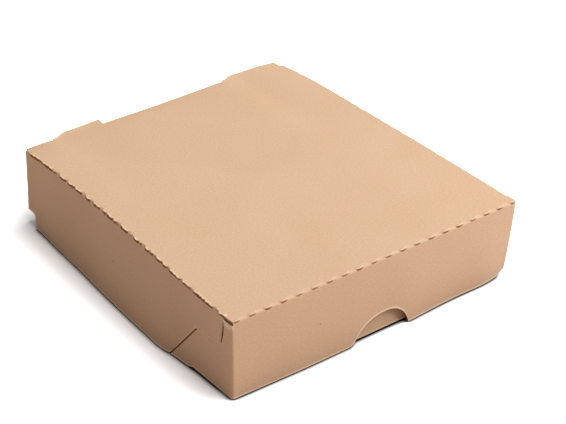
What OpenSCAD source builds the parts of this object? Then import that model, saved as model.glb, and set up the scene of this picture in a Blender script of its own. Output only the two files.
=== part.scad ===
// Flat kraft box folded from one die-cut sheet of fine corrugated board.
// The base panel lies on the table and carries a tuck wall and two dust flaps.
// The cover is a cap with full-height walls, hinged to the base along the rear bottom crease.
// The board has sprung back a little: the top panel is bowed up and the left wall's foot stands out.
// Origin: middle of the base panel's underside. Front is -Y, the hinge is at +Y, +Z is up.

/* [Board] */
// Thickness of the corrugated board
board_t = 1.6; // [1.2:0.1:2.4]

/* [Cover] */
// Width of the top panel, from side crease to side crease
cover_w = 230; // [180:1:300]
// Depth from the front wall's face to the rear wall's face
cover_d = 253; // [200:1:340]
// Height from the table to the top panel's face
cover_h = 59; // [50:1:90]
// Gap between the table and the free edges of the cover's walls
edge_lift = 0.4; // [0.2:0.1:2]

/* [Spring of the board] */
// Rise of the top panel's left edge, highest behind its middle
edge_rise = 3.4; // [0.2:0.1:5]
// Rise of the top panel's rear edge, highest right of its middle
rear_rise = 4.3; // [0.2:0.1:6]
// Distance that the left wall's foot springs out from under its crease
wall_spring = 7.2; // [0.2:0.1:10]

/* [Perforated creases] */
// Length of each cut along the top panel's front and side creases
perf_cut = 5.5; // [3:0.5:8]
// Distance from one cut to the next
perf_pitch = 11.8; // [9:0.1:16]
// Width to which the folded board opens each cut
perf_open = 0.8; // [0.4:0.1:1.2]

/* [Thumb notch] */
// Height of the thumb notch above the front wall's free edge
notch_h = 18; // [12:0.5:22]
// Radius of the notch's arch
notch_r = 26; // [22:0.5:34]
// Radius of the rounded feet where the arch meets the free edge
notch_foot_r = 5; // [2:0.5:7]

/* [Front ears] */
// Width of the narrow strip that turns the front corner
ear_strip = 10; // [6:0.5:14]
// Drop of the strip's upper end below the top panel's face
ear_drop = 4; // [3:0.5:7]
// Height of the broad lower part of the ear
ear_h = 34; // [24:0.5:38]
// Reach of the broad part's upper edge back from the front wall
ear_reach = 38; // [28:0.5:46]
// Slant of the ear's rear end, from the vertical
ear_slant = 38; // [30:1:50]
// Distance from the front wall to the step in the ear's lower edge
ear_step = 44; // [38:0.5:48]
// Height of that step
ear_rise = 1.8; // [1:0.1:3]
// Width of the slit between the ear's strip and the side wall
slit_w = 1.4; // [0.8:0.1:2.5]

/* [Rear corners] */
// Height of the relief cut at the foot of each rear corner
relief_h = 10; // [7:0.5:16]
// Length of that cut along the side wall
relief_d = 9.5; // [7:0.5:16]
// Length of that cut along the rear wall
relief_w = 12; // [10:0.5:18]
// Corner radius of the cut
relief_r = 4; // [2:0.5:5]
// Length of the tab that each side wall turns inside the rear wall
tab_len = 34; // [20:1:45]
// Drop of the tab's upper end below the top panel's face
tab_drop = 9; // [8:0.5:12]

/* [Rear tongues] */
// Reach of the tongues behind the rear wall
tongue_len = 6; // [3.5:0.5:7]
// Length of the ramp at the left end of each tongue
tongue_ramp = 8; // [5:0.5:10]
// Distance from the left side crease to the left tongue
tongue_l_in = 27; // [20:1:34]
// Length of the left tongue
tongue_l_w = 36; // [24:1:44]
// Distance from the right side crease to the right tongue
tongue_r_in = 7; // [5:1:20]
// Length of the right tongue
tongue_r_w = 48; // [24:1:56]

/* [Base] */
// Height of the tuck wall behind the thumb notch
tuck_h = 32; // [26:1:38]
// Radius of the tuck wall's upper corners
tuck_r = 12; // [4:1:16]
// Height of the dust flaps inside the side walls
flap_h = 40; // [26:1:42]
// Radius of the dust flaps' upper corners
flap_r = 16; // [4:1:20]
// Gap between a dust flap and the side wall
flap_gap = 1; // [0.6:0.1:3]
// Room left between the tuck wall and the front wall as the cover swings up
swing_room = 0.5; // [0.4:0.1:2]
// Gap at the hinge crease between the base panel and the rear wall
hinge_gap = 0.3; // [0.2:0.1:0.6]

/* [Hidden] */
$fn = 64;
kraft = [0.80, 0.62, 0.45];
kraft_inside = [0.74, 0.57, 0.41];
cut_over = 1;
half_w = cover_w / 2;
front_y = -cover_d / 2;
rear_y = cover_d / 2;
// Outer radius of a fold that is cut round, and of one that the board bends into
fold_r = board_t;
bend_r = 1.25 * board_t;
side_start = ear_strip + slit_w;
tuck_y = front_y + board_t + swing_room;
// The front wall swings on this radius, so the tuck wall leans back to keep its upper edge inside it
swing_r = cover_d - board_t;
tuck_lean = asin((swing_r - sqrt(swing_r * swing_r - tuck_h * tuck_h) + swing_room) / tuck_h);
base_w = cover_w - 2 * (board_t + flap_gap);
flap_front = tuck_y + board_t / cos(tuck_lean) + flap_h * tan(tuck_lean) + flap_gap;
flap_rear = rear_y - relief_d - flap_gap;
hinge_w = cover_w - 2 * relief_w;
// Left end and length of each tongue
tongues = [[-half_w + tongue_l_in, tongue_l_w], [half_w - tongue_r_in - tongue_r_w, tongue_r_w]];
arch_z = edge_lift + notch_h - notch_r;
foot_z = edge_lift + notch_foot_r;
// Direction from the arch's centre to a foot's centre, where the two arcs run into each other
foot_angle = asin((foot_z - arch_z) / (notch_r + notch_foot_r));
foot_x = (notch_r + notch_foot_r) * cos(foot_angle);
arc_steps = 12;
// Steps from section to section along the cap, and within each across the top panel and round a fold
section_steps = 13;
top_steps = 6;
fold_steps = 3;

// Points of an arc round [x, z], from one angle up to the next, without the last point
function arc(x, z, r, from, to) =
  [for (i = [0:arc_steps - 1])
    let (a = from + (to - from) * i / arc_steps)
    [x + r * cos(a), z + r * sin(a)]];

// Rise of the top panel at [x, y] above a flat one
function rise(x, y) =
  let (across = (x + half_w) / cover_w, along = (y - front_y) / cover_d)
  edge_rise * sin(180 * pow(along, 1.5)) * pow(1 - across, 2)
    + rear_rise * sin(180 * pow(across, 1.6)) * pow(along, 2);

// Slope of a tongue's root along the rear crease
function tongue_tilt(place) =
  atan((rise(place[0] + place[1], rear_y) - rise(place[0], rear_y)) / place[1]);

// Distance that the left wall's foot stands out at y, from none at the slit to none at the rear corner
function spring(y) =
  let (along = (y - front_y - side_start) / (cover_d - board_t - side_start))
  wall_spring * pow(sin(180 * pow(min(max(along, 0), 1), 1.15)), 0.85);

// Points of the cap's section at y, at a distance inside its outer face: from the left foot over the top
function cap_line(y, inset) =
  let (
    r = bend_r - inset,
    left = [-half_w + bend_r, cover_h + rise(-half_w, y) - bend_r],
    right = [half_w - bend_r, cover_h + rise(half_w, y) - bend_r],
    turns = [for (i = [0:fold_steps]) 90 * i / fold_steps]
  )
  concat(
    [[-half_w - spring(y) + inset, y, edge_lift]],
    [for (a = turns) [left[0] - r * cos(a), y, left[1] + r * sin(a)]],
    [for (i = [1:top_steps - 1])
      let (x = -half_w + cover_w * i / top_steps)
      [x, y, cover_h + rise(x, y) - inset]],
    [for (a = turns) [right[0] + r * sin(a), y, right[1] + r * cos(a)]],
    [[half_w - inset, y, edge_lift]]
  );

// Sheet through a row of sections, each given as its outer line and its inner line of as many points
module loft(sections) {
  m = len(sections[0][0]);
  n = 2 * m;
  last = len(sections) - 1;
  polyhedron(
    points = [for (section = sections) each concat(section[0], [for (i = [m - 1:-1:0]) section[1][i]])],
    faces = concat(
      [for (i = [0:m - 2]) [i, i + 1, n - 2 - i, n - 1 - i]],
      [for (i = [0:last - 1], k = [0:n - 1])
        let (a = i * n + k, b = i * n + (k + 1) % n)
        each [[a, a + n, b], [b, a + n, b + n]]],
      [for (i = [0:m - 2]) [for (k = [n - 1 - i, n - 2 - i, i + 1, i]) last * n + k]]
    )
  );
}

// Sheet standing in the XZ plane, its outline drawn as [x, z], with its front face at y
module standing_x(y) {
  translate([0, y + board_t, 0])
    rotate([90, 0, 0])
      linear_extrude(board_t)
        children();
}

// Sheet standing in the YZ plane, its outline drawn as [y, z], with its left face at x
module standing_y(x) {
  translate([x, 0, 0])
    rotate([90, 0, 90])
      linear_extrude(board_t)
        children();
}

// Both sides of a sheet that is the same on the left and on the right
module both_sides() {
  children();
  mirror([1, 0, 0]) children();
}

// Cutter that rounds a crease along X at [y, z]; the sheet lies towards y_side and z_side
module round_x(y, z, y_side, z_side, length) {
  translate([-length / 2, y + y_side * fold_r, z + z_side * fold_r])
    rotate([0, 90, 0])
      difference() {
        linear_extrude(length)
          polygon([
            [0, 0],
            [z_side * (fold_r + cut_over), 0],
            [z_side * (fold_r + cut_over), -y_side * (fold_r + cut_over)],
            [0, -y_side * (fold_r + cut_over)]
          ]);
        translate([0, 0, -cut_over])
          cylinder(r = fold_r, h = length + 2 * cut_over);
      }
}

// Cutter that rounds a crease along Y at [x, z]; the sheet lies towards +X and z_side
module round_y(x, z, z_side, y_from, y_to) {
  translate([x + fold_r, y_to, z + z_side * fold_r])
    rotate([90, 0, 0])
      difference() {
        linear_extrude(y_to - y_from)
          polygon([
            [0, 0],
            [-fold_r - cut_over, 0],
            [-fold_r - cut_over, -z_side * (fold_r + cut_over)],
            [0, -z_side * (fold_r + cut_over)]
          ]);
        translate([0, 0, -cut_over])
          cylinder(r = fold_r, h = y_to - y_from + 2 * cut_over);
      }
}

// Cutter that rounds an upright crease at [x, y]; the sheet lies towards +X and y_side
module round_z(x, y, y_side, z_from, z_to) {
  translate([x + fold_r, y + y_side * fold_r, z_from])
    difference() {
      linear_extrude(z_to - z_from)
        polygon([
          [0, 0],
          [-fold_r - cut_over, 0],
          [-fold_r - cut_over, -y_side * (fold_r + cut_over)],
          [0, -y_side * (fold_r + cut_over)]
        ]);
      translate([0, 0, -cut_over])
        cylinder(r = fold_r, h = z_to - z_from + 2 * cut_over);
    }
}

// Rectangle with its two upper corners rounded, drawn as [u, z]
module round_topped(u_from, u_to, z_from, z_to, r) {
  square_h = z_to - r - z_from;
  translate([u_from, z_from])
    square([u_to - u_from, square_h]);
  translate([u_from + r, z_from])
    square([u_to - u_from - 2 * r, z_to - z_from]);
  for (u = [u_from + r, u_to - r])
    translate([u, z_to - r])
      circle(r);
}

// Outline of the thumb notch: an arch that runs into a rounded foot at each side
module notch_outline() {
  polygon(concat(
    arc(-foot_x, foot_z, notch_foot_r, -90, -foot_angle),
    arc(0, arch_z, notch_r, 180 - foot_angle, foot_angle),
    arc(foot_x, foot_z, notch_foot_r, 180 + foot_angle, 270),
    [[foot_x, edge_lift], [foot_x, edge_lift - cut_over], [-foot_x, edge_lift - cut_over]]
  ));
}

// Outline of the front wall between its ear folds, with the thumb notch in its free edge
module front_outline() {
  fold_x = half_w + board_t;
  difference() {
    polygon([
      [-fold_x, edge_lift],
      [fold_x, edge_lift],
      [fold_x, cover_h - ear_drop],
      [half_w, cover_h - ear_drop],
      [half_w, cover_h],
      [-half_w, cover_h],
      [-half_w, cover_h - ear_drop],
      [-fold_x, cover_h - ear_drop]
    ]);
    notch_outline();
  }
}

// Outline of an ear: a strip round the corner and a broad part with a slanted end
module ear_outline() {
  tip = ear_reach + (ear_h - edge_lift) * tan(ear_slant);
  translate([front_y, 0])
    polygon([
      [0, edge_lift],
      [ear_step, edge_lift + ear_rise],
      [ear_step + ear_rise, edge_lift],
      [tip, edge_lift],
      [ear_reach, ear_h],
      [ear_strip, ear_h],
      [ear_strip, cover_h - ear_drop],
      [0, cover_h - ear_drop]
    ]);
}

// What is cut from a side wall: its front end as far as the slit, and the relief at its rear corner
module side_cuts() {
  translate([front_y - cut_over, -cut_over])
    square([side_start + cut_over, cover_h - board_t + cut_over]);
  translate([rear_y - relief_d, -cut_over])
    square([relief_d + cut_over, relief_h - relief_r + cut_over]);
  translate([rear_y - relief_d + relief_r, -cut_over])
    square([relief_d - relief_r + cut_over, relief_h + cut_over]);
  translate([rear_y - relief_d + relief_r, relief_h - relief_r])
    circle(relief_r);
}

// Top panel and side walls, with the bow that the board springs back to
module cap() {
  reach = wall_spring + board_t + cut_over;
  difference() {
    loft([
      for (i = [0:section_steps])
        let (y = front_y + cover_d * i / section_steps)
        [cap_line(y, 0), cap_line(y, board_t)]
    ]);
    both_sides()
      translate([-half_w - reach, 0, 0])
        rotate([90, 0, 90])
          linear_extrude(reach + board_t + cut_over)
            side_cuts();
  }
}

// Left ear, laid over the sprung side wall; its inner face is pressed into the wall's liner
module left_ear() {
  tip = ear_reach + (ear_h - edge_lift) * tan(ear_slant);
  ear_top = cover_h - ear_drop + cut_over;
  reach = wall_spring + 2 * board_t + cut_over;
  intersection() {
    translate([-half_w - reach, 0, 0])
      rotate([90, 0, 90])
        linear_extrude(reach + board_t)
          ear_outline();
    loft([
      for (i = [0:section_steps])
        let (
          y = front_y + (tip + cut_over) * i / section_steps,
          foot_x = -half_w - spring(y),
          top_x = -half_w - spring(y) * (cover_h - ear_top) / cover_h
        )
        [
          [[foot_x - board_t, y, 0], [top_x - board_t, y, ear_top]],
          [[foot_x + board_t / 2, y, 0], [top_x + board_t / 2, y, ear_top]]
        ]
    ]);
  }
}

// Outline of the rear wall, narrower at its foot where the hinge crease runs
module rear_outline() {
  difference() {
    union() {
      polygon(concat(
        [[half_w, relief_h], [-half_w, relief_h]],
        [for (i = [0:top_steps])
          let (x = -half_w + cover_w * i / top_steps)
          [x, cover_h + rise(x, rear_y) - board_t / 2]]
      ));
      translate([-hinge_w / 2, board_t + hinge_gap])
        square([hinge_w, relief_h]);
    }
    tongue_gaps();
  }
}

// Places in the rear wall that the tongues were cut from
module tongue_gaps() {
  for (tongue = tongues)
    translate([tongue[0], cover_h + rise(tongue[0], rear_y)])
      rotate(tongue_tilt(tongue))
        mirror([0, 1])
          tongue_outline(tongue[1]);
}

// Tongue drawn from its root line, with a ramp at the left and a square end at the right
module tongue_outline(length) {
  polygon([
    [0, 0],
    [tongue_ramp * 0.3, tongue_len * 0.15],
    [tongue_ramp * 0.7, tongue_len * 0.85],
    [tongue_ramp, tongue_len],
    [length, tongue_len],
    [length, 0]
  ]);
}

// Tongue that stands out behind the rear crease, level with the top panel's bowed edge
module tongue(place) {
  translate([place[0], rear_y, cover_h + rise(place[0], rear_y)])
    rotate([0, -tongue_tilt(place), 0])
      translate([0, 0, -board_t])
        linear_extrude(board_t) {
          tongue_outline(place[1]);
          translate([0, -board_t / 2])
            square([place[1], board_t / 2]);
        }
}

// Places of the cuts along a crease of that length, from its middle
function cut_places(length) =
  let (count = floor((length - perf_cut) / perf_pitch))
  [for (i = [0:count]) (i - count / 2) * perf_pitch];

// Cuts along the front crease
module front_perforation() {
  for (x = cut_places(cover_w))
    translate([x - perf_cut / 2, front_y - cut_over, cover_h - board_t - perf_open])
      cube([perf_cut, board_t + 2 * cut_over, perf_open]);
}

// Cuts along the left or the right crease, level with the top panel's bowed edge
module side_perforation(x) {
  for (place = cut_places(cover_d - side_start - 2 * relief_d)) {
    y = place + side_start / 2;
    translate([x - board_t - cut_over, y - perf_cut / 2, cover_h + rise(x, y) - board_t - perf_open])
      cube([2 * (board_t + cut_over), perf_cut, perf_open]);
  }
}

// Tab that a side wall turns inside the rear wall
module rear_tab() {
  standing_x(rear_y - 2 * board_t)
    polygon([
      [-half_w, relief_h],
      [-half_w + tab_len, relief_h],
      [-half_w + tab_len, cover_h - tab_drop - tab_len / 4],
      [-half_w + tab_len * 3 / 4, cover_h - tab_drop],
      [-half_w, cover_h - tab_drop]
    ]);
}

module cover() {
  color(kraft)
    difference() {
      union() {
        cap();
        for (place = tongues) tongue(place);
        standing_x(front_y) front_outline();
        standing_x(rear_y - board_t) rear_outline();
        left_ear();
        standing_y(half_w) ear_outline();
        both_sides() rear_tab();
      }
      round_x(front_y, cover_h, 1, -1, cover_w + 2 * cut_over);
      front_perforation();
      side_perforation(-half_w);
      side_perforation(half_w);
      both_sides() {
        round_z(-half_w - board_t, front_y, 1, -cut_over, cover_h - ear_drop + cut_over);
        round_z(-half_w, rear_y - board_t, -1, relief_h - cut_over, cover_h - tab_drop);
      }
    }
}

// Base panel, relieved at its rear corners beside the hinge crease
module base_panel() {
  linear_extrude(board_t) {
    translate([-base_w / 2, tuck_y])
      square([base_w, flap_rear - tuck_y]);
    translate([-hinge_w / 2, tuck_y])
      square([hinge_w, rear_y - tuck_y]);
  }
}

// Tuck wall, folded up from the base panel and leaning back a little
module tuck_wall() {
  translate([0, tuck_y, 0])
    rotate([-tuck_lean, 0, 0])
      standing_x(0)
        round_topped(-base_w / 2, base_w / 2, board_t / 2, tuck_h, tuck_r);
}

module base() {
  color(kraft_inside)
    difference() {
      union() {
        base_panel();
        tuck_wall();
        both_sides()
          standing_y(-base_w / 2)
            round_topped(flap_front, flap_rear, 0, flap_h, flap_r);
      }
      round_x(tuck_y, 0, 1, 1, base_w + 2 * cut_over);
      both_sides()
        round_y(-base_w / 2, 0, 1, tuck_y - cut_over, flap_rear + cut_over);
    }
}

base();
cover();
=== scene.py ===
import math
import bpy
import numpy as np
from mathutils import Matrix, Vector


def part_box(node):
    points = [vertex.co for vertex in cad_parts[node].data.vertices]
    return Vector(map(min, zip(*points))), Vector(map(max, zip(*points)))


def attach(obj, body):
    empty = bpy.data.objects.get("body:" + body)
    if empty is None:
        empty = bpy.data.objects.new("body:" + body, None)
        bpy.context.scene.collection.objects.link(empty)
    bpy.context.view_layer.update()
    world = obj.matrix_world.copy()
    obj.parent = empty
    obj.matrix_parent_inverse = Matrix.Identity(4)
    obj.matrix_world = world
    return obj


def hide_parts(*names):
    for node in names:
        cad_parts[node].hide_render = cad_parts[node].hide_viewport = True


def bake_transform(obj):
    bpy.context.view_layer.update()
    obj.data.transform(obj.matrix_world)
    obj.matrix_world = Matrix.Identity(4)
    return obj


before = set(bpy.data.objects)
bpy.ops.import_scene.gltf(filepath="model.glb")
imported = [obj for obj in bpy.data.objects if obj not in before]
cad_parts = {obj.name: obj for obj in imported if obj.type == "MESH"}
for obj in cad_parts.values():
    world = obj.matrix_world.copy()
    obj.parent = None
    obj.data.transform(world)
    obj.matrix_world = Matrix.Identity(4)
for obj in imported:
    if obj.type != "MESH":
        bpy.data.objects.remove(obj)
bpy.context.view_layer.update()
mm = 0.001

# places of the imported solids, in millimetres
coverLow, coverHigh = [np.array(corner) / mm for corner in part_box("cover")]
baseLow, baseHigh = [np.array(corner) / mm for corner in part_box("base")]
board = {"thick": 1.6, "fold": 1.9, "flutePitch": 3.3, "coverTop": 59.0}    # fold: outer radius; coverTop: height when flat
thick, fold = board["thick"], board["fold"]
halfWidth = coverHigh[0] - thick    # middle of the box to a side crease
frontY, rearY = coverLow[1], baseHigh[1]
topZ, edgeZ = board["coverTop"], coverLow[2] + 0.2    # free edges stand a little off the table
print("frame loaded, cover", coverLow.round(1), coverHigh.round(1))


# small curves that every panel uses

def fade(t):    # eased step: 0 below 0, 1 above 1, flat at both ends
    t = np.clip(t, 0, 1)
    return t * t * (3 - 2 * t)


def curve(points, at):    # cubic through given (place, value) pairs, each slope taken from its neighbours
    place, value = np.array(points, float).T
    slope = np.gradient(value, place)
    at = np.clip(at, place[0], place[-1])
    i = np.clip(np.searchsorted(place, at) - 1, 0, len(place) - 2)
    gap = place[i + 1] - place[i]
    t = (at - place[i]) / gap
    start = (1 + 2 * t) * (1 - t) ** 2 * value[i] + t * (1 - t) ** 2 * gap * slope[i]
    return start + t * t * (3 - 2 * t) * value[i + 1] + t * t * (t - 1) * gap * slope[i + 1]


def ragged(at, step, seed):    # torn edge: a random height from -1 to 1 at every step, joined by straight lines
    draw = np.random.default_rng(seed).uniform(-1, 1, 1024)
    k = np.asarray(at) / step
    i = np.floor(k).astype(int)
    return draw[i % 1024] * (1 - k + i) + draw[(i + 1) % 1024] * (k - i)


def arcDrop(t, radius):    # how far a rounded corner falls away at distance t from its end
    t = np.clip(radius - t, 0, radius)
    return radius - np.sqrt(radius ** 2 - t ** 2)


# a folded sheet is a list of faces, each corner with its outer place, inner place, place in the flat blank and masks

def newSheet():
    return {"outer": [], "inner": [], "flat": [], "mask": [], "size": []}


def addFaces(sheet, outer, inner, flat, mask, faces):
    sheet["outer"].append(outer[faces].reshape(-1, 3))
    sheet["inner"].append(inner[faces].reshape(-1, 3))
    sheet["flat"].append(flat[faces].reshape(-1, 2))
    sheet["mask"].append(mask[faces].reshape(-1, 2))
    sheet["size"] += [faces.shape[1]] * len(faces)


def addGrid(sheet, outer, inner, flat, mask=None):    # quads between grid points, turned to face away from the inner grid
    n, m = outer.shape[:2]
    corner = np.arange(n * m).reshape(n, m)
    quads = np.stack([corner[:-1, :-1], corner[1:, :-1], corner[1:, 1:], corner[:-1, 1:]], -1).reshape(-1, 4)
    outer, inner, flat = outer.reshape(-1, 3), inner.reshape(-1, 3), flat.reshape(-1, 2)
    mask = np.zeros((n * m, 2)) if mask is None else mask.reshape(-1, 2)
    p = outer[quads]
    normal = np.cross(p[:, 2] - p[:, 0], p[:, 3] - p[:, 1])
    if (normal * (outer - inner)[quads].mean(1)).sum() < 0:
        quads = quads[:, ::-1]
    addFaces(sheet, outer, inner, flat, mask, quads)


def points(*parts):    # one grid of points from coordinates that broadcast together
    return np.stack(np.broadcast_arrays(*parts), -1).astype(float)


def closeSheet(name, sheet, warp, materials):
    # outer skin, the same faces turned round for the inner skin, and a strip of cut edge along every free edge
    outer, inner, flat, mask = [np.concatenate(sheet[k]) for k in ("outer", "inner", "flat", "mask")]
    _, first, at = np.unique(outer.round(3), axis=0, return_index=True, return_inverse=True)
    at = at.ravel()
    ends = np.cumsum(sheet["size"])
    skin = []
    for start, end in zip(ends - sheet["size"], ends):    # a face that has shrunk at a tip loses its doubled corners
        face = at[start:end]
        face = face[face != np.roll(face, 1)]
        if len(face) > 2:
            skin.append(face)
    count = len(first)
    here = np.concatenate(skin)
    there = np.concatenate([np.roll(face, -1) for face in skin])
    free = ~np.isin(here * count + there, there * count + here)
    a, b = here[free], there[free]
    rims = np.stack([b, a, a + count, b + count], 1)
    faces = [f.tolist() for f in skin] + [(f[::-1] + count).tolist() for f in skin] + rims.tolist()
    place = np.concatenate([warp(outer[first]), warp(inner[first])]) * mm
    mesh = bpy.data.meshes.new(name)
    mesh.from_pydata(place.tolist(), [], faces)
    kinds = np.repeat([0, 1, 2], [len(skin), len(skin), len(rims)]).astype(np.int32)
    mesh.polygons.foreach_set("material_index", kinds)
    corners = np.empty(len(mesh.loops), np.int32)
    mesh.loops.foreach_get("vertex_index", corners)
    blank = np.concatenate([flat[first], flat[first]]) / 100    # one UV unit is 100 mm of board
    depth = np.repeat([1.0, 0.0], count)
    mesh.uv_layers.new(name="blank").data.foreach_set("uv", blank[corners].astype(np.float32).ravel())
    cut = np.stack([blank[corners, 1] + 0.09 * blank[corners, 0], depth[corners]], 1)    # die not quite square to the flutes
    mesh.uv_layers.new(name="cutEdge").data.foreach_set("uv", cut.astype(np.float32).ravel())
    # pale free edges: scuffed paper and a painted highlight, along every free edge and where a mask asks for it
    wearAndHighlight = np.zeros(2 * count)
    wearAndHighlight[np.concatenate([a, a + count])] = 1
    wearAndHighlight[:count] = np.maximum(wearAndHighlight[:count], mask[first, 0])
    wearAndHighlight[np.isin(np.arange(2 * count) % count, at[mask[:, 0] < 0])] = 0    # a mask below 0 keeps an edge clean
    # painted shade in the cuts and slits
    slotShading = np.concatenate([mask[first, 1], mask[first, 1] - 1]).clip(0, 1)    # a cut that goes through counts 2
    for label, value in (("edgeWearHighlight", wearAndHighlight), ("slotShade", slotShading)):
        mesh.attributes.new(label, "FLOAT", "POINT").data.foreach_set("value", value.astype(np.float32))
    for material in materials:
        mesh.materials.append(material)
    mesh.shade_smooth()
    mesh.set_sharp_from_angle(angle=math.radians(38))
    mesh.validate()
    made = bpy.data.objects.new(name, mesh)
    bpy.context.scene.collection.objects.link(made)
    print(name, "faces", len(faces))
    return made


# kraft board finishes

def put(tree, kind, inputs=None, **settings):    # a node; an input that is a socket is linked, any other is set
    made = tree.nodes.new(kind)
    for label, value in settings.items():
        setattr(made, label, value)
    for label, value in (inputs or {}).items():
        if isinstance(value, bpy.types.NodeSocket):
            tree.links.new(value, made.inputs[label])
        else:
            made.inputs[label].default_value = value
    return made


def calc(tree, operation, a, b=0.0, c=0.0):
    return put(tree, "ShaderNodeMath", {0: a, 1: b, 2: c}, operation=operation).outputs[0]


def tint(tree, factor, a, b):    # colour a going over to colour b
    return put(tree, "ShaderNodeMix", {0: factor, 6: a, 7: b}, data_type="RGBA").outputs[2]


def band(tree, value, low, high):    # 0 below low, 1 above high
    inputs = {"Value": value, "From Min": low, "From Max": high}
    return put(tree, "ShaderNodeMapRange", inputs, interpolation_type="SMOOTHSTEP").outputs[0]


grain = {
    "fibreScale": 34, "fibreStretch": (1.0, 5.0, 1.0), "fleckScale": 78, "cloudScale": 1.7,
    "fibreTone": 0.13, "fleckTone": 0.13, "cloudTone": 0.05, "speckScale": 4.2, "speckSize": 0.03,
    "browner": 0.6,    # how much purer the colour is where the paper is darker
}


def kraftGrainGroup():
    # paper tone: stretched fibres, fine flecks, slow clouds and a few dark specks, all on the blank's own UV
    tree = bpy.data.node_groups.new("kraftGrain", "ShaderNodeTree")
    tree.interface.new_socket("Vector", in_out="INPUT", socket_type="NodeSocketVector")
    tree.interface.new_socket("Paper", in_out="INPUT", socket_type="NodeSocketColor")
    tree.interface.new_socket("Speck", in_out="INPUT", socket_type="NodeSocketColor")
    tree.interface.new_socket("Colour", in_out="OUTPUT", socket_type="NodeSocketColor")
    tree.interface.new_socket("Height", in_out="OUTPUT", socket_type="NodeSocketFloat")
    given = tree.nodes.new("NodeGroupInput")
    uv = given.outputs["Vector"]
    long = put(tree, "ShaderNodeMapping", {"Vector": uv, "Scale": grain["fibreStretch"]}).outputs[0]
    across = put(tree, "ShaderNodeMapping", {"Vector": uv, "Scale": grain["fibreStretch"],
                                             "Rotation": (0, 0, math.radians(62))}).outputs[0]
    fibre = put(tree, "ShaderNodeTexNoise", {"Vector": long, "Scale": grain["fibreScale"], "Detail": 4.0}).outputs[0]
    weft = put(tree, "ShaderNodeTexNoise", {"Vector": across, "Scale": grain["fibreScale"], "Detail": 3.0}).outputs[0]
    fleck = put(tree, "ShaderNodeTexNoise", {"Vector": uv, "Scale": grain["fleckScale"], "Detail": 2.0}).outputs[0]
    cloud = put(tree, "ShaderNodeTexNoise", {"Vector": uv, "Scale": grain["cloudScale"], "Detail": 3.0}).outputs[0]
    fibres = calc(tree, "ADD", fibre, weft)
    tone = calc(tree, "MULTIPLY_ADD", fibres, grain["fibreTone"], 1 - grain["fibreTone"])
    tone = calc(tree, "MULTIPLY_ADD", calc(tree, "SUBTRACT", fleck, 0.5), 2 * grain["fleckTone"], tone)
    tone = calc(tree, "MULTIPLY_ADD", calc(tree, "SUBTRACT", cloud, 0.5), 2 * grain["cloudTone"], tone)
    purity = calc(tree, "MULTIPLY_ADD", tone, -grain["browner"], 1 + grain["browner"])
    inputs = {"Saturation": purity, "Value": tone, "Color": given.outputs["Paper"]}
    paper = put(tree, "ShaderNodeHueSaturation", inputs).outputs[0]
    cell = put(tree, "ShaderNodeTexVoronoi", {"Vector": uv, "Scale": grain["speckScale"]})
    near = calc(tree, "SUBTRACT", 1.0, band(tree, cell.outputs["Distance"], 0.3 * grain["speckSize"], grain["speckSize"]))
    chosen = calc(tree, "GREATER_THAN", put(tree, "ShaderNodeSeparateColor", {0: cell.outputs["Color"]}).outputs[0], 0.8)
    speck = calc(tree, "MULTIPLY", calc(tree, "MULTIPLY", near, chosen), 0.75)
    result = tree.nodes.new("NodeGroupOutput")
    tree.links.new(tint(tree, speck, paper, given.outputs["Speck"]), result.inputs["Colour"])
    height = calc(tree, "MULTIPLY_ADD", fleck, 0.6, calc(tree, "MULTIPLY", fibres, 0.35))
    tree.links.new(height, result.inputs["Height"])
    return tree


# the rim colour is scuffed paper and a painted highlight; the colours of the cut gaps and open flutes are painted shade
kraft = {
    "outside": (0.735, 0.480, 0.296, 1), "inside": (0.670, 0.430, 0.250, 1), "speck": (0.16, 0.075, 0.03, 1),
    "rim": (1.0, 0.77, 0.52, 1), "slotShading": (0.36, 0.110, 0.030, 1), "fluteHoleShade": (0.34, 0.165, 0.07, 1),
    "liner": (0.86, 0.60, 0.38, 1), "deepSlotShade": (0.17, 0.050, 0.015, 1), "rough": 0.82, "bump": 0.5,
}
grainGroup = kraftGrainGroup()


def kraftFace(name, paper, wearAndHighlightTone):
    # unprinted liner: grain, paler scuffed paper with a painted highlight at free edges, painted shade over the dark
    # board in the opened cuts
    made = bpy.data.materials.new(name)
    made.use_nodes = True
    tree = made.node_tree
    shader = tree.nodes["Principled BSDF"]
    uv = put(tree, "ShaderNodeUVMap", uv_map="blank").outputs[0]
    paperGrain = put(tree, "ShaderNodeGroup", node_tree=grainGroup)
    tree.links.new(uv, paperGrain.inputs["Vector"])
    paperGrain.inputs["Paper"].default_value = paper
    paperGrain.inputs["Speck"].default_value = kraft["speck"]
    # scuffed paper and a painted highlight along the free edges
    wearAndHighlight = put(tree, "ShaderNodeAttribute", attribute_name="edgeWearHighlight").outputs["Fac"]
    # painted shade in the opened cuts and slits, over the board's own dark brown
    slotShading = put(tree, "ShaderNodeAttribute", attribute_name="slotShade").outputs["Fac"]
    wornAndLit = calc(tree, "MULTIPLY", band(tree, wearAndHighlight, 0.15, 0.9), wearAndHighlightTone)
    colour = tint(tree, wornAndLit, paperGrain.outputs["Colour"], kraft["rim"])
    colour = tint(tree, band(tree, slotShading, 0.1, 0.9), colour, kraft["slotShading"])
    tree.links.new(colour, shader.inputs["Base Color"])
    rough = calc(tree, "MULTIPLY_ADD", paperGrain.outputs["Height"], 0.12, kraft["rough"] - 0.05)
    tree.links.new(rough, shader.inputs["Roughness"])
    bump = put(tree, "ShaderNodeBump", {"Height": paperGrain.outputs["Height"], "Strength": kraft["bump"],
                                        "Distance": 0.0002})
    tree.links.new(bump.outputs[0], shader.inputs["Normal"])
    shader.inputs["Specular IOR Level"].default_value = 0.5
    return made


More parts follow.
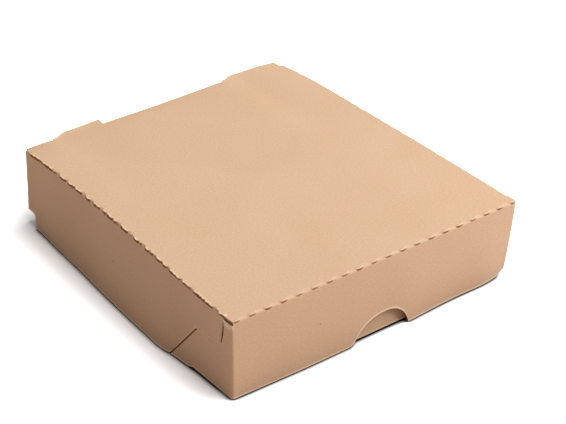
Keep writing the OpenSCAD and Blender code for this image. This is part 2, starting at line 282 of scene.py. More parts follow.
def kraftCut(name):
    # cut edge: two pale liners with the wave of the fluting between them, painted shade where a flute is open
    made = bpy.data.materials.new(name)
    made.use_nodes = True
    tree = made.node_tree
    shader = tree.nodes["Principled BSDF"]
    place = put(tree, "ShaderNodeSeparateXYZ", {0: put(tree, "ShaderNodeUVMap", uv_map="cutEdge").outputs[0]})
    turns = 2 * math.pi * 100 / board["flutePitch"]
    wave = calc(tree, "SINE", calc(tree, "MULTIPLY", place.outputs[0], turns))
    centre = calc(tree, "MULTIPLY_ADD", wave, 0.28, 0.5)
    offWave = calc(tree, "ABSOLUTE", calc(tree, "SUBTRACT", place.outputs[1], centre))
    offMiddle = calc(tree, "ABSOLUTE", calc(tree, "SUBTRACT", place.outputs[1], 0.5))
    medium = calc(tree, "SUBTRACT", 1.0, band(tree, offWave, 0.06, 0.17))
    solid = calc(tree, "MAXIMUM", medium, band(tree, offMiddle, 0.26, 0.36))
    flat = put(tree, "ShaderNodeUVMap", uv_map="blank").outputs[0]
    fuzz = put(tree, "ShaderNodeTexNoise", {"Vector": flat, "Scale": 160.0, "Detail": 3.0}).outputs[0]
    solid = calc(tree, "MULTIPLY_ADD", band(tree, fuzz, 0.4, 0.62), 0.55, solid)
    tone = calc(tree, "MULTIPLY_ADD", fuzz, 0.3, 0.85)
    liner = put(tree, "ShaderNodeHueSaturation", {"Value": tone, "Color": kraft["liner"]}).outputs[0]
    colour = tint(tree, solid, kraft["fluteHoleShade"], liner)
    # painted shade where the cut edge lies in a slit
    slotShading = put(tree, "ShaderNodeAttribute", attribute_name="slotShade").outputs["Fac"]
    colour = tint(tree, band(tree, slotShading, 0.1, 0.9), colour, kraft["deepSlotShade"])
    tree.links.new(colour, shader.inputs["Base Color"])
    bump = put(tree, "ShaderNodeBump", {"Height": solid, "Strength": 0.5, "Distance": 0.0004})
    tree.links.new(bump.outputs[0], shader.inputs["Normal"])
    shader.inputs["Roughness"].default_value = 0.9
    shader.inputs["Specular IOR Level"].default_value = 0.15
    return made


finishes = [kraftFace("kraftOutside", kraft["outside"], 0.95), kraftFace("kraftInside", kraft["inside"], 0.3),
            kraftCut("kraftCutEdge")]
print("finishes made")


# how the cover stands after use: sprung left wall, pushed-in right corner, lifted top edges
stand = {
    "leftFlare": [(0, 0), (3, 0), (9, 0.9), (20, 1.8), (30, 2.5), (44, 3.6), (62, 5.9), (66, 7.0), (71, 7.7),
                  (87, 7.8), (109, 7.5), (140, 6.7), (165, 5.4), (209, 3.6), (239, 2.0), (246, 2.2), (260, 2.6)],
    "rightLean": [(0, 3.3), (12, 3.1), (40, 2.0), (80, 0.6), (110, 0), (260, 0)],
    "leftRear": [(0, 0), (150, 0), (200, 0.2), (240, 1.0), (262, 1.3)],
    "leftLift": [(0, 0), (26, -0.6), (56, 0.2), (86, 1.7), (126, 3.2), (156, 3.6), (200, 3.3), (232, 2.8), (246, 1.5),
                 (253, 0.5), (262, 0.5)],
    "rearLift": [(-116, 0), (-95, 0.4), (-86, -0.4), (-70, -0.6), (-52, 0.2), (-10, 0.6), (37, 1.7), (55, 2.0), (70, 0.8),
                 (95, 0.5), (108, -0.4), (116, -0.9)],
    "frontBow": [(-116, 0), (-90, 0.7), (-64, 1.4), (-27, 1.4), (0, 1.1), (25, 1.8), (45, 0.6), (63, -0.2), (90, 0),
                 (116, 0)],
    "rightRear": [(0, -1.4), (20, -1.3), (50, -1.2), (90, -1.2), (130, -0.6), (170, -0.1), (195, 0.1), (228, 1.6),
                  (245, 3.4), (262, 4.8)],
    "cornerPush": 2.4, "cornerLift": 3.6,
}


def settle(p):
    # each wall leans by its own curve along the box, more towards its free edge; the top lifts most at its edges
    x, y, z = p.T
    along = y - frontY
    low = np.clip(1 - z / topZ, 0, 1)
    front = fade(1 - along / 14)
    across = np.clip((x + halfWidth) / (2 * halfWidth), 0, 1)
    up = (curve(stand["leftLift"], along) * (1 - across) ** 2
          + curve(stand["rearLift"], x) * np.clip(along / (rearY - frontY), 0, 1) ** 2) * np.clip(z / topZ, 0, 1) ** 1.5
    side = (-curve(stand["leftFlare"], along) * low ** 1.15 * fade((-x - 85) / 25)
            - curve(stand["rightLean"], along) * low * fade((x - 60) / 50)
            - curve(stand["leftRear"], along) * fade(-x / halfWidth)
            - curve(stand["rightRear"], along) * fade(x / halfWidth))
    back = (-curve(stand["frontBow"], x) * low * front
            + stand["cornerPush"] * fade((x - 86) / 30) ** 1.5 * low ** 1.5 * front)
    up += stand["cornerLift"] * fade((x - 104) / 12) * low ** 5 * front    # crushed foot of the right front corner
    return np.stack([x + side, y + back, z + up], 1)


# cover
cover = {
    "slitStart": 9.3, "slitGap": 1.6, "slitSlope": 0.13, "stripTop": 56.0, "stripFoot": 36.3, "earTop": 33.2,
    "earFrom": 12.5, "earReach": 37.2,
    "lockMid": 49.4, "lockSlope": math.tan(math.radians(37.1)), "lockReach": 36.0, "earTuck": 5.0, "recess": 2.1,
    "earStep": 40.7, "earRise": 1.8, "notchX": 5.5, "notchLeft": 26.1, "notchRight": 18.3, "notchTop": 16.3,
    "notchFoot": 6.5, "footTop": 5.5, "dashPitch": 11.8, "dashHalf": 3.3, "reliefLen": 13.0, "reliefTop": 12.2,
    "reliefRound": 4.0, "cornerRound": 1.9, "tabLen": 34.0, "tabDrop": 9.0, "hingeHalf": 103.0, "hingeTop": 2.6,
    "tongues": [(-91.0, -50.8, 5.6), (56.0, 110.9, 5.2)], "tongueRamp": 13.0, "topInset": 112.2, "cornerIn": 0.9,
}
slitY = frontY + cover["slitStart"]
backY = rearY - fold
inset = cover["topInset"]
wallEnd = halfWidth - cover["cornerIn"]    # end of the front wall, where the ear's fold starts
creaseX = halfWidth - fold


def distinct(*lists):    # sorted places with near-doubles left out; the first list is always kept
    kept = list(np.unique(np.round(lists[0], 4)))
    for more in lists[1:]:
        kept += [v for v in np.round(more, 4) if min(abs(v - k) for k in kept) > 0.18]
    return np.sort(np.unique(kept))


dashAt = (np.arange(20) - 9.5) * cover["dashPitch"]
rampRun = (0, 3, 5, 6.5, 8, 10, cover["tongueRamp"])    # closer columns along a tongue's slanted end
tongueEnds = [v for a, b, _ in cover["tongues"] for v in (*(a + run for run in rampRun), b)]
coarseX = distinct([-inset, inset, -cover["hingeHalf"], cover["hingeHalf"], cover["hingeHalf"] + 0.2,
                    -cover["hingeHalf"] - 0.2, *tongueEnds], np.linspace(-inset, inset, 38))
dashX = (dashAt[:, None] + cover["dashHalf"] * np.array([-1, -0.75, -0.45, 0, 0.45, 0.75, 1, 1.9])).ravel()
notchLeft, notchRight = cover["notchX"] - cover["notchLeft"], cover["notchX"] + cover["notchRight"]
notchX = np.concatenate([notchRight - np.array([0, 0.2, 0.6, 1.2, 2, 3, 4.2, 5.6, 7.5, 10]),
                         notchLeft + np.linspace(-6, 8, 15)])
strut = (inset + creaseX) / 2
fineX = distinct([*coarseX, -wallEnd, wallEnd, -creaseX, creaseX, -strut, strut, notchRight, notchRight + 0.2],
                 notchX, dashX[abs(dashX) < wallEnd])
coarseY = np.linspace(slitY, backY, 44).round(4)
reliefY = rearY - cover["reliefLen"]
cornerY = backY - cover["cornerRound"]
turn = np.radians([18, 36, 54, 72, 90])
turnY = cornerY + cover["cornerRound"] * np.sin(turn)
lockY = frontY + cover["lockMid"]
fineY = distinct([*coarseY[coarseY < cornerY], lockY, cornerY, *turnY, backY, reliefY, reliefY + 0.2],
                 np.arange(slitY, cornerY, 0.95))

# a crease in section: a rounded fold where the board holds, a lip over a dark gap where it is cut
bend = np.radians(np.linspace(0, 90, 9))
foldOut = np.stack([fold * (np.sin(bend) - 1), fold * (np.cos(bend) - 1)], 1)
foldIn = np.stack([(fold - thick) * np.sin(bend) - fold, (fold - thick) * np.cos(bend) - fold], 1)
cutOut = np.array([(-1.9, 0), (-0.6, 0.1), (0.5, 0.08), (0.62, -0.22), (0.40, -0.45), (-0.5, -0.55),
                   (-0.52, -1.75), (-0.06, -1.86), (0.02, -1.95)])
# per row of the cut section: scuffed paper with a painted highlight on the lip, painted shade in the gap
lipWearAndHighlight = np.array([0, 0.5, 1.0, 1.0, 0.5, 0, 0, 0.5, 0.6])
cutShadeShare = np.array([0, 0, 0, 0.05, 0.6, 1, 1, 0.6, 0])


def creaseSection(opened, reach, rise, gape):    # mixes the sections by how far each place is open, pulls lip and gap about
    share = opened[:, None, None]
    section = foldOut * (1 - share) + cutOut * share
    lip = np.array([0, 0.4, 1, 1, 0.8, 0, 0, 0, 0])
    section[:, :, 0] += reach[:, None] * lip
    section[:, :, 1] += rise[:, None] * lip - (gape * opened)[:, None] * np.array([0, 0, 0, 0, 0, 0, 1, 1, 1])
    return section, np.stack([lipWearAndHighlight * opened[:, None], cutShadeShare * opened[:, None]], -1)


def dashes(at, centres, half, seed):    # lens-shaped openings at the cuts, no two opened alike
    apart = (at[:, None] - centres) / half
    size = np.random.default_rng(seed).uniform(0.72, 1.0, len(centres))
    return (np.clip(1 - apart ** 2, 0, 1) ** 0.6 * size).max(1)


def notchLow(x):    # free edge of the front wall: a full arch, steep at the right, run out in a hollow foot at the left
    t = x - cover["notchX"]
    t = np.abs(t) / np.where(t < 0, cover["notchLeft"], cover["notchRight"])
    arch = cover["notchTop"] * np.clip(1 - t ** 2.2, 0, 1) ** 0.64
    foot = (x - notchLeft) / cover["notchFoot"] + 0.68
    foot = cover["footTop"] * np.where((foot > 0) & (foot < 1), foot, 0) ** 2
    return edgeZ + np.maximum(arch, foot)


def lockAt(z):    # the slanted slit in the side wall that the ear is tucked into: its distance from the front
    return cover["earReach"] + np.clip(cover["earTop"] - z, 0, None) * cover["lockSlope"]


def lockShear(d, z):    # slides the rows of a side wall along, so that the row at lockMid follows the slit
    slide = (lockAt(z) - cover["lockMid"]) * fade((topZ - 3 - z) / 20)
    return slide * fade(1 - np.abs(d - cover["lockMid"]) / cover["lockReach"])


def earTopAt(d):    # top edge of the ear: falls in a straight line from the strip's foot to the slit
    fall = np.clip((d - cover["earFrom"]) / (cover["earReach"] - cover["earFrom"]), 0, 1)
    return cover["stripFoot"] + (cover["earTop"] - cover["stripFoot"]) * fall


def lockRecess(d, z):    # how far the wall in front of the slit is pushed in under the ear
    ahead = lockAt(z) - d
    below = fade((earTopAt(d) - z) / 4)
    under = 1 - (1 - fade(ahead / 14)) * (1 - below)
    return below * under * cover["recess"] + 2.3 * below * (1 - fade((ahead - 3) / 6))


def earOut(d, z):    # ear against its corner fold: comes in to the wall's plane, bulges a little, then dips into the slit
    ahead = lockAt(z) - d
    lie = (fold - cover["cornerIn"] - 0.05) * fade((d - 2) / 10)
    bulge = 0.35 * fade((cover["earTop"] - z) / 12) * fade((d - 3) / 12)
    return bulge - lie - 2.2 * (1 - fade((ahead + 0.1) / 1.0))


lowShare = np.array([0.85, 0.68, 0.5, 0.34, 0.2, 0.09])


def lowerRows(top, low):    # heights from just under a top edge to a free edge, with a narrow row along each
    room = top - low
    lip = np.minimum(1.0, 0.3 * room)
    rows = [top, top - 0.6 * lip] + [low + room * s for s in lowShare] + [low + 1.9 * lip, low + lip, low]
    return np.stack(rows, -1)


coverSheet = newSheet()

# front strip of the top, front crease and front wall, on the fine columns
x = fineX
opened = dashes(x, dashAt, cover["dashHalf"], 3)
section, creaseMask = creaseSection(opened, 0.12 * ragged(x, 1.5, 11) - 0.3, 0.06 * ragged(x, 1.1, 12), gape=0.3)
stripY = np.array([slitY, frontY + 6.5, frontY + 3.2])
bandZ = np.array([topZ - 2.7, cover["stripTop"], 50, 44.7, 39.3])
wallZ = np.concatenate([np.tile(bandZ, (len(x), 1)), lowerRows(np.full_like(x, cover["stripFoot"]), notchLow(x))], 1)
rowY = np.concatenate([np.tile(stripY, (len(x), 1)), frontY - section[:, :, 0], np.full(wallZ.shape, frontY)], 1)
rowZ = np.concatenate([np.full((len(x), 3), topZ), topZ + section[:, :, 1], wallZ], 1)
innerY = np.concatenate([np.tile(stripY, (len(x), 1)), np.tile(frontY - foldIn[:, 0], (len(x), 1)),
                         np.full(wallZ.shape, frontY + thick)], 1)
innerZ = np.concatenate([np.full((len(x), 3), topZ - thick), np.tile(topZ + foldIn[:, 1], (len(x), 1)), wallZ], 1)
mask = np.zeros((*rowY.shape, 2))
# crease: painted highlight on the lips, painted shade in the cuts
mask[:, 3:12] = creaseMask * [0.6, 0.85]
# painted highlight along the bottom edge
mask[:, -2, 0] = 0.9
flatV = np.where(rowZ > topZ - 1, rowY, frontY - (topZ - rowZ))
overhang = (cover["cornerIn"] - 0.2) * np.concatenate([np.ones(3), np.linspace(1, 0, 9), np.zeros(wallZ.shape[1])])
rowX = x[:, None] + np.where(np.abs(x) > creaseX + 0.1, np.sign(x), 0)[:, None] * overhang
addGrid(coverSheet, points(rowX, rowY, rowZ), points(rowX, innerY, innerZ), points(rowX, flatV), mask)

# middle of the top: a coarse grid whose outer cells take up the fine points of their neighbours
across = [fineX[(fineX >= a) & (fineX <= b)] for a, b in zip(coarseX[:-1], coarseX[1:])]
rowEnds = np.append(coarseY[coarseY < cornerY], backY)
beside = [fineY[(fineY >= a - 1e-6) & (fineY <= b + 1e-6)] for a, b in zip(rowEnds[:-1], rowEnds[1:])]
for i, (xa, xb) in enumerate(zip(coarseX[:-1], coarseX[1:])):
    for j, (ya, yb) in enumerate(zip(rowEnds[:-1], rowEnds[1:])):
        south = across[i] if j == 0 else np.array([xa, xb])
        east = beside[j] if i == len(coarseX) - 2 else np.array([ya, yb])
        west = beside[j] if i == 0 else np.array([ya, yb])
        ring = np.concatenate([points(south[:-1], ya), points(xb, east[:-1]), [(xb, yb)], points(xa, west[:0:-1])])
        outer = points(ring[:, 0], ring[:, 1], topZ)
        addFaces(coverSheet, outer, outer - [0, 0, thick], ring, np.zeros((len(ring), 2)), np.arange(len(ring))[None])

# side strips, side creases and side walls, with the rear corner turned inwards; then ears and rear tabs
levels = np.array([56.4, 53, 49, 45, 41, 38, 36, 34, 32.5, 30, 27, 24, 21, 18, 15, 12, 9.5, 7, 4.5, 2.8,
                   1.8 + edgeZ, 1.0 + edgeZ, edgeZ])
stripZ = np.append(bandZ[1:], cover["stripFoot"])
gapShare = np.array([0.1, 0.8, 0.9, 0.5, 0.1])    # the slit beside the strip closes at both ends
stripEnd = cover["slitStart"] - cover["slitGap"] * gapShare + cover["slitSlope"] * (cover["stripTop"] - stripZ)
stripShare = np.array([0.35, 0.75, 0.92, 1.0])
earRun = [cover["earFrom"], 16, 20, 24, 27, 29, 30.5, 31.1, 31.7, 32.3, 32.9, 34, 36]
lockRun = np.array([9, 6.5, 4.7, 3.4, 2.4, 1.7, 1.2, 0.8, 0.4, 0, -0.5, -1.5, -3, -cover["earTuck"]])
earD = np.concatenate([fold + (stripEnd[-1] - fold) * stripShare, earRun, cover["lockMid"] - lockRun])
for side, seed, torn in ((-1, 21, 1.0), (1, 41, 0.25)):
    y = fineY
    phi = np.arcsin(np.clip((y - cornerY) / cover["cornerRound"], 0, 1))
    planX = halfWidth - cover["cornerRound"] * (1 - np.cos(phi))
    outX, outY = np.cos(phi), np.sin(phi)
    cuts = (np.arange(19) - 9) * cover["dashPitch"] + (slitY + rearY) / 2
    held = fade((cornerY - y) / 6)
    opened = 0.5 + 0.6 * dashes(y, cuts, 3.6, seed) + 0.7 * ragged(y, 2.1, seed + 1) + 0.3 * fade((90 + frontY - y) / 60)
    opened = np.clip(opened, 0, 1) * held * torn    # torn further open towards the front
    reach, rise = 0.5 * ragged(y, 1.2, seed + 2) - 0.3, 0.32 * ragged(y, 1.7, seed + 3)
    gape = 0.3 + 0.5 * ragged(y, 2.9, seed + 4).clip(0)
    section, creaseMask = creaseSection(opened, *(torn * held * np.stack([reach, rise, gape])))
    low = edgeZ + np.where(y < reliefY + 0.1, 0, cover["reliefTop"] - edgeZ - arcDrop(y - reliefY, cover["reliefRound"]))
    downZ = low[:, None] + (levels - edgeZ) * ((topZ - fold - low) / (topZ - fold - edgeZ))[:, None]
    along = (y - frontY)[:, None]
    slant = cover["slitSlope"] * np.clip(cover["stripTop"] - downZ, 0, cover["stripTop"] - cover["earTop"])
    slide = lockShear(along, downZ) + slant * fade(1 - (along - cover["slitStart"]) / 16)
    downY = np.zeros_like(downZ) + np.where(y < cornerY, 1, 0)[:, None] * slide
    startX, startY = planX - fold * outX, y - fold * outY
    out = np.concatenate([np.zeros((len(y), 2)), section[:, :, 0], np.zeros(downZ.shape)], 1)
    rowX = planX[:, None] + out * outX[:, None]
    rowY = y[:, None] + out * outY[:, None]
    rowY[:, 11:] += downY
    rowZ = np.concatenate([np.full((len(y), 2), topZ), topZ + section[:, :, 1], downZ], 1)
    rowX[:, 0], rowY[:, 0] = inset, y
    rowX[:, 1], rowY[:, 1] = (inset + startX) / 2, (y + startY) / 2
    deep = np.concatenate([np.zeros((len(y), 2)), np.tile(foldIn[:, 0], (len(y), 1)), np.full(downZ.shape, -thick)], 1)
    inX = planX[:, None] + deep * outX[:, None]
    inY = y[:, None] + deep * outY[:, None]
    inY[:, 11:] += downY
    inX[:, :2], inY[:, :2] = rowX[:, :2], rowY[:, :2]
    inZ = np.concatenate([np.full((len(y), 2), topZ - thick), np.tile(topZ + foldIn[:, 1], (len(y), 1)), downZ], 1)
    mask = np.zeros((*rowX.shape, 2))
    # crease: painted highlight on the lips, painted shade in the cuts
    mask[:, 2:11] = creaseMask * [0.75, 1.0]
    flatU = np.where(rowZ > topZ - 1, rowX, halfWidth + topZ - rowZ)
    # painted highlight along the bottom edge
    mask[:, -2, 0] = 0.9
    mask[y > cornerY + 0.1, :, 0] = -1
    slitFoot, slitTop = fade((downZ[0] - cover["stripFoot"] + 2.8) / 2.5), fade((cover["stripTop"] - downZ[0]) / 3)
    # painted shade in the vertical slit beside the strip
    mask[0, 11:, 1] = 1.9 * slitFoot * slitTop    # vertical slit beside the strip
    pushed = np.zeros_like(rowX)
    pushed[:, 11:] = lockRecess(rowY[:, 11:] - frontY, downZ)
    lockRow = np.searchsorted(y, lockY)    # the wall is cut here: pushed in ahead of the slit, flat behind it
    for rows, push in ((slice(0, lockRow + 1), pushed), (slice(lockRow, len(y)), 0 * pushed)):
        outer = points(side * (rowX - push), rowY, rowZ)[rows]
        inner = points(side * (inX - push), inY, inZ)[rows]
        addGrid(coverSheet, outer, inner, points(side * flatU, rowY)[rows], mask[rows])

    # tab that the side wall turns inside the rear wall
    t = np.array([0, 1.2, 2.5, 4, 8, 14, 20, 26, 30, cover["tabLen"] - 0.7, cover["tabLen"]])
    tabTop = topZ - fold - (cover["tabDrop"] - fold) * fade(t / 4) - np.clip(t - 26, 0, None)
    share = (np.append(rowZ[-1, 10], downZ[-1]) - cover["reliefTop"]) / (topZ - fold - cover["reliefTop"])
    tabZ = cover["reliefTop"] + (tabTop[:, None] - cover["reliefTop"]) * share
    tabX = halfWidth - cover["cornerRound"] - t[:, None]
    tabFlat = points(side * (200 + t[:, None]), 130 + tabZ)    # its own place on the blank
    addGrid(coverSheet, points(side * tabX, backY, tabZ), points(side * tabX, backY - thick, tabZ), tabFlat)

    # ear: round the front corner, flush with the side wall, its slanted end tucked through the slit
    angle = np.concatenate([np.radians([0, 15, 30, 45, 60, 75]), np.full(len(earD) + 1, math.pi / 2)])
    d = np.concatenate([np.zeros(6), [fold], earD])
    footD = d + lockShear(d, np.full(len(d), edgeZ))
    pastStep = (footD - cover["earStep"]) / cover["earRise"]
    rise = cover["earRise"] * np.where(pastStep < 0, np.clip(footD / cover["earStep"], 0, 1), fade(1 - pastStep))
    broadZ = lowerRows(earTopAt(d + lockShear(d, np.full(len(d), cover["earTop"]))), edgeZ + rise)
    broadD = np.where(d[:, None] > 0, d[:, None] + lockShear(d[:, None], broadZ), 0)
    stripD = np.concatenate([np.zeros((6, 5)), np.full((1, 5), fold), fold + (stripEnd - fold) * stripShare[:, None]])
    for partZ, partD, bend in ((broadZ, broadD, angle), (np.tile(stripZ, (11, 1)), stripD, angle[:11])):
        turn, ahead = bend[:, None], np.clip(partD - fold, 0, None)
        proud = np.where(partD > fold, earOut(partD, partZ), 0)
        outer, inner = [points(side * (wallEnd + radius * np.sin(turn) + proud),
                               frontY + fold - radius * np.cos(turn) + ahead, partZ) for radius in (fold, fold - thick)]
        earShadeAndHighlight = points(0.0, 0.38 * np.sin(2 * turn) ** 4 + 0 * partZ)    # darker line down the corner fold
        # painted highlight along the ear's foot
        earShadeAndHighlight[:, -2, 0] = 0.9 * (partZ[0, -1] < 5)
        earShadeAndHighlight[..., 1] += fade(1.0 - (lockAt(partZ) - partD) / 0.45)    # shade where the end goes into the slit
        addGrid(coverSheet, outer, inner, points(side * (halfWidth + partD + turn * fold), frontY - topZ + partZ), earShadeAndHighlight)

# rear crease, rear wall and the tongues that were cut from it
x = coarseX
tongue = np.zeros_like(x)
for start, end, reach in cover["tongues"]:
    inside = (x >= start) & (x <= end)
    tongue[inside] = reach * fade((x[inside] - start) / cover["tongueRamp"])
lowZ = np.where(np.abs(x) <= cover["hingeHalf"] + 0.1, cover["hingeTop"], cover["reliefTop"])
rearLevels = topZ - fold - np.array([0, 0.7, 2.5, 5.2, 5.6, 6.4, 10, 17, 25, 34, 42])
spans = [-inset] + [v for a, b, _ in cover["tongues"] for v in (a, b)] + [inset]
for k, (start, end) in enumerate(zip(spans[:-1], spans[1:])):
    pick = np.where((x >= start - 1e-6) & (x <= end + 1e-6))[0]
    xs, reach = x[pick], (tongue[pick] if k % 2 else np.zeros(len(pick)))
    foot = lowZ[pick, None]
    wallRows = np.concatenate([np.minimum(rearLevels, (topZ - fold - reach)[:, None]), foot + 0.7, foot], 1)
    flatWall = points(xs[:, None], rearY + topZ - wallRows)
    clean = points(np.full(wallRows.shape, -1.0), 0.0)
    addGrid(coverSheet, points(xs[:, None], rearY, wallRows), points(xs[:, None], rearY - thick, wallRows), flatWall, clean)
    if k % 2:
        run = np.array([0, 0.3, 0.6, 0.88, 1.0])
        tongueY = backY + (fold + reach)[:, None] * run
        tongueZ = topZ + 0.35 * run ** 2 + 0 * tongueY
        outer, inner = points(xs[:, None], tongueY, tongueZ), points(xs[:, None], tongueY, tongueZ - thick)
        addGrid(coverSheet, outer, inner, points(xs[:, None], tongueY), clean[:, :5])
    else:
        foldY, foldZ = rearY + foldOut[::2, 0], topZ + foldOut[::2, 1]
        foldInY, foldInZ = rearY + foldIn[::2, 0], topZ + foldIn[::2, 1]
        outer, inner = points(xs[:, None], foldY, foldZ), points(xs[:, None], foldInY, foldInZ)
        addGrid(coverSheet, outer, inner, points(xs[:, None], foldY - foldZ + topZ), clean[:, :5])

coverPiece = closeSheet("cover_sheet", coverSheet, settle, finishes)
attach(coverPiece, "cover")
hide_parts("cover")


# base: panel on the table, tuck wall behind the notch and two dust flaps
base = {
    "left": 112.4, "rightGap": 2.8, "tuckLeft": -109.0, "tuckRight": 97.0, "tuckTop": 32.0, "tuckRound": 12.0,
    "tuckLean": math.tan(math.radians(4.5)), "flapTop": 40.0, "flapRound": 16.0, "flapFront": 8.0, "flapRear": 10.5,
    "hingeStart": 2.5, "blendMargin": 0.05,
}
tuckY = baseLow[1]
flapFront, flapRear = frontY + base["flapFront"], rearY - base["flapRear"]


def rightEdge(y):    # right fold of the base, kept inside the leaning right wall of the cover
    return halfWidth - thick - base["rightGap"] + 1.2 - curve(stand["rightLean"], y - frontY)


def asIs(p):    # for the sheets that haven't sprung
    return p.copy()


def flapEdge(at, start, end, height, radius):    # top edge of a flap with both corners rounded
    return height - arcDrop(at - start, radius) - arcDrop(end - at, radius)


baseSheet = newSheet()
panelY = distinct([tuckY + fold, flapFront, flapRear], np.linspace(tuckY + fold, flapRear, 34))
endRun = np.array([0, 0.4, 1.2, 2.5, 4.5, 8, 12])    # closer columns where the tuck wall's corners are rounded
panelX = distinct([base["tuckLeft"], base["tuckRight"], -cover["hingeHalf"], cover["hingeHalf"]], base["tuckLeft"] + endRun,
                  base["tuckRight"] - endRun, np.linspace(base["tuckLeft"], cover["hingeHalf"], 26))
leftX, rightX = -base["left"] + fold, rightEdge(panelY) - fold
tuckCols = panelX[(panelX >= base["tuckLeft"]) & (panelX <= base["tuckRight"])]
rearPanelX = panelX[np.abs(panelX) <= cover["hingeHalf"]]
gridX = np.concatenate([np.full((len(panelY), 1), leftX), np.tile(panelX, (len(panelY), 1)), rightX[:, None]], 1)
tailY = np.array([flapRear, flapRear + 4, rearY - base["hingeStart"]])
for spreadX, spreadY in ((gridX, panelY[:, None]), (rearPanelX[:, None], tailY)):    # the panel, then its tail at the hinge
    outer, inner = points(spreadX, spreadY, 0.0), points(spreadX, spreadY, thick)
    addGrid(baseSheet, outer, inner, points(spreadX, spreadY))

riseShare = np.array([0.05, 0.2, 0.4, 0.6, 0.8, 0.95, 1.0])    # rows of a flap, from its fold to its edge
tuckZ = flapEdge(tuckCols, base["tuckLeft"], base["tuckRight"], base["tuckTop"], base["tuckRound"])
riseZ = fold + (tuckZ - fold)[:, None] * riseShare
foldY, foldZ = tuckY - foldOut[:, 0], -foldOut[:, 1]
foldInY, foldInZ = tuckY - foldIn[:, 0], -foldIn[:, 1]
# painted highlight: a pale line along the fold
foldHighlight = np.concatenate([[0, 0, 0, 0.3, 0.8, 1, 1, 1, 1], np.zeros(len(riseShare))])    # pale line along the fold
tuckOutY = np.concatenate([np.tile(foldY, (len(tuckCols), 1)), tuckY + (riseZ - fold) * base["tuckLean"]], 1)
tuckOutZ = np.concatenate([np.tile(foldZ, (len(tuckCols), 1)), riseZ], 1)
tuckInY = np.concatenate([np.tile(foldInY, (len(tuckCols), 1)), tuckY + thick + (riseZ - fold) * base["tuckLean"]], 1)
tuckInZ = np.concatenate([np.tile(foldInZ, (len(tuckCols), 1)), riseZ], 1)
outer, inner = points(tuckCols[:, None], tuckOutY, tuckOutZ), points(tuckCols[:, None], tuckInY, tuckInZ)
addGrid(baseSheet, outer, inner, points(tuckCols[:, None], tuckY - tuckOutZ), points(foldHighlight + 0 * tuckOutZ, 0.0))

flapY = panelY[(panelY >= flapFront - 1e-6) & (panelY <= flapRear + 1e-6)]
flapZ = flapEdge(flapY, flapFront, flapRear, base["flapTop"], base["flapRound"])
riseZ = fold + (flapZ - fold)[:, None] * riseShare
for side, edge in ((-1, np.full(len(flapY), base["left"])), (1, rightEdge(flapY))):
    outX = np.concatenate([edge[:, None] + foldOut[:, 0], np.tile(edge[:, None], (1, len(riseShare)))], 1)
    inX = np.concatenate([edge[:, None] + foldIn[:, 0], np.tile(edge[:, None] - thick, (1, len(riseShare)))], 1)
    outZ = np.concatenate([np.tile(-foldOut[:, 1], (len(flapY), 1)), riseZ], 1)
    inZ = np.concatenate([np.tile(-foldIn[:, 1], (len(flapY), 1)), riseZ], 1)
    outer, inner = points(side * outX, flapY[:, None], outZ), points(side * inX, flapY[:, None], inZ)
    addGrid(baseSheet, outer, inner, points(side * (outX + outZ), flapY[:, None]))

basePiece = closeSheet("base_sheet", baseSheet, asIs, finishes)
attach(basePiece, "base")
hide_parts("base")

# hinge crease: the fold between base panel and rear wall, built folded (the real crease opens out flat as the cover
# swings)
hingeSheet = newSheet()
turnBy = np.radians(np.linspace(0, 90, 9))
pathY = np.concatenate([[rearY - base["hingeStart"]], rearY - fold + fold * np.sin(turnBy), [rearY]])
pathZ = np.concatenate([[0], fold - fold * np.cos(turnBy), [cover["hingeTop"]]])
insideY = np.concatenate([[rearY - base["hingeStart"]], rearY - fold + (fold - thick) * np.sin(turnBy), [rearY - thick]])
insideZ = np.concatenate([[thick], fold - (fold - thick) * np.cos(turnBy), [cover["hingeTop"]]])
hingeX = rearPanelX[:, None]
addGrid(hingeSheet, points(hingeX, pathY, pathZ), points(hingeX, insideY, insideZ), points(hingeX, pathY + pathZ))
hingePiece = closeSheet("hinge_crease", hingeSheet, asIs, finishes)
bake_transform(hingePiece)
print("sheets folded")


# floor, light and camera
studio = {
    "floorSize": 4.0, "floorBounce": (0.70, 0.57, 0.52, 1), "bounceShadeUnder": (0.14, 0.025, 0.0, 1),
    "floorShown": (2.12, 2.19, 2.23, 1), "contactNear": 0.004, "contactFar": 0.035, "bounceFar": 0.08,
    "sunFrom": (0.33, -0.27, 0.90), "sunAngle": 50.0, "sunPower": 2.30, "fill": (0.222, 0.214, 0.210, 1),
    "sideFrom": (0.55, -0.42, 0.30), "sideSize": 0.4, "sidePower": 2.0, "sideColour": (0.90, 1.0, 1.10),
}
view = {"azimuth": -36.17, "elevation": 32.56, "far": 1.091, "target": (0, 0, 0.025), "lens": 99.82,
        "shiftX": 0.0350, "shiftY": 0.0078}


def seen(tree):    # 1 for rays that show the background itself or its mirror image
    path = tree.nodes.new("ShaderNodeLightPath")
    direct = calc(tree, "MAXIMUM", path.outputs["Is Camera Ray"], path.outputs["Is Glossy Ray"])
    return calc(tree, "MAXIMUM", direct, path.outputs["Is Transmission Ray"])


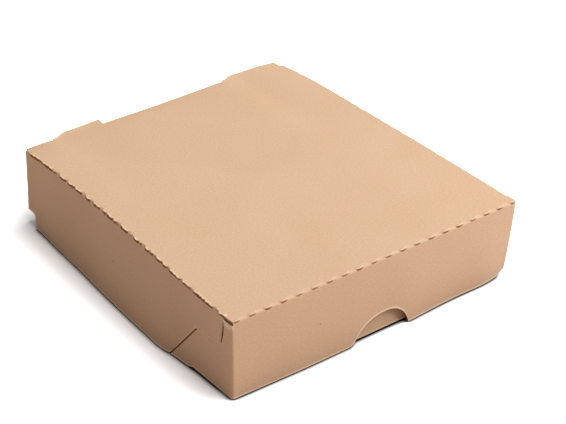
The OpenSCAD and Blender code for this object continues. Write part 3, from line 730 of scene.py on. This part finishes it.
half = studio["floorSize"] / 2
floorMesh = bpy.data.meshes.new("floor")
floorCorners = [(u, v, -0.0002) for u, v in ((-half, -half), (half, -half), (half, half), (-half, half))]
floorMesh.from_pydata(floorCorners, [], [(0, 1, 2, 3)])
floor = bpy.data.objects.new("floor", floorMesh)
bpy.context.scene.collection.objects.link(floor)
floorPaint = bpy.data.materials.new("paleFloor")
floorPaint.use_nodes = True
tree = floorPaint.node_tree
tree.nodes.remove(tree.nodes["Principled BSDF"])
# painted contact shade: the floor colour is darkened near the box by two occlusion terms, on top of its cast shadow
contact = put(tree, "ShaderNodeAmbientOcclusion", {"Distance": studio["contactNear"]}).outputs["AO"]
around = put(tree, "ShaderNodeAmbientOcclusion", {"Distance": studio["contactFar"]}).outputs["AO"]
shade = calc(tree, "MULTIPLY", band(tree, contact, 0.4, 1.0), calc(tree, "MULTIPLY_ADD", around, 0.7, 0.3))
shown = tint(tree, shade, (0, 0, 0, 1), studio["floorShown"])    # shows white, keeps its shadow
# painted shade: the light the floor bounces gets darker and browner near the box
wide = put(tree, "ShaderNodeAmbientOcclusion", {"Distance": studio["bounceFar"]}).outputs["AO"]
bounce = tint(tree, band(tree, wide, 0.5, 1.0), studio["bounceShadeUnder"], studio["floorBounce"])    # browner near the box
paint = put(tree, "ShaderNodeBsdfDiffuse", {"Color": tint(tree, seen(tree), bounce, shown)})
tree.links.new(paint.outputs[0], tree.nodes["Material Output"].inputs["Surface"])
floorMesh.materials.append(floorPaint)

world = bpy.data.worlds.new("studioWorld")
bpy.context.scene.world = world
world.use_nodes = True
tree = world.node_tree
glow = tree.nodes["Background"]
tree.links.new(tint(tree, seen(tree), studio["fill"], (1, 1, 1, 1)), glow.inputs["Color"])

softbox = bpy.data.lights.new("softbox", "SUN")
softbox.angle = math.radians(studio["sunAngle"])
softbox.energy = studio["sunPower"]
sideLight = bpy.data.lights.new("sideLight", "AREA")    # brightens the right end a little
sideLight.size = studio["sideSize"]
sideLight.energy = studio["sidePower"]
sideLight.color = studio["sideColour"]
for light, place in ((softbox, studio["sunFrom"]), (sideLight, studio["sideFrom"])):
    lamp = bpy.data.objects.new(light.name, light)
    lamp.location = place
    lamp.rotation_mode = "QUATERNION"
    lamp.rotation_quaternion = (-Vector(place)).to_track_quat("-Z", "Y")
    bpy.context.scene.collection.objects.link(lamp)

lens = bpy.data.cameras.new("camera")
lens.lens = view["lens"]
lens.shift_x, lens.shift_y = view["shiftX"], view["shiftY"]
camera = bpy.data.objects.new("camera", lens)
a, e = math.radians(view["azimuth"]), math.radians(view["elevation"])
towards = Vector((math.sin(a) * math.cos(e), -math.cos(a) * math.cos(e), math.sin(e)))
camera.location = Vector(view["target"]) + towards * view["far"]
camera.rotation_mode = "QUATERNION"
camera.rotation_quaternion = (-towards).to_track_quat("-Z", "Y")
bpy.context.scene.collection.objects.link(camera)
bpy.context.scene.camera = camera
bpy.context.scene.view_settings.view_transform = "Standard"
print("studio set")
